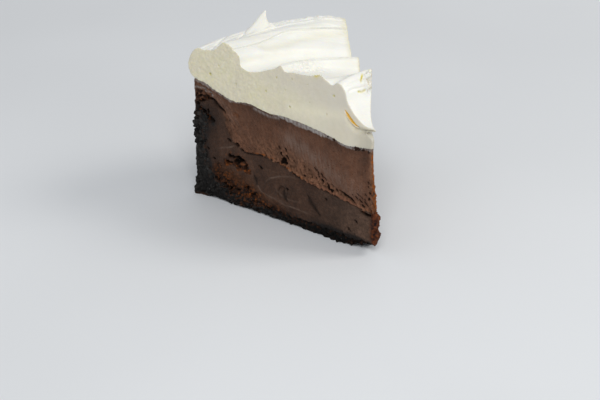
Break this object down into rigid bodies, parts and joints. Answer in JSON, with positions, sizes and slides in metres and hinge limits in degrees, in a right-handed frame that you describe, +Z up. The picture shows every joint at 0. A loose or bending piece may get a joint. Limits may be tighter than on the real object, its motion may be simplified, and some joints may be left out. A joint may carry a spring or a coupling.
{
  "type": "slice of mud pie",
  "caption": "Wedge cut from a round mud pie: dark crumb crust, fudge and chocolate mousse layers, and ridged whipped cream on top; rests flat on its underside.",
  "frame": {"origin": "on the flat underside, below the middle of the slice's bounding box", "axes": "+Z up, +Y from the tip towards the rim, the first cut on the -X side"},
  "size_m": [0.0893, 0.1157, 0.091],
  "materials": {
    "crumbs": "dry, coarse dark cookie crumbs",
    "fudge": "smooth dark chocolate fudge with a slight sheen and knife marks",
    "mousse": "soft chocolate mousse with fine upright knife streaks",
    "cream": "soft whipped cream, spread with a spatula"
  },
  "bodies": {
    "root": {"crumb_crust": "crumbs", "fudge_layer": "fudge", "mousse_layer": "mousse", "whipped_cream": "cream"}
  },
  "joints": []
}
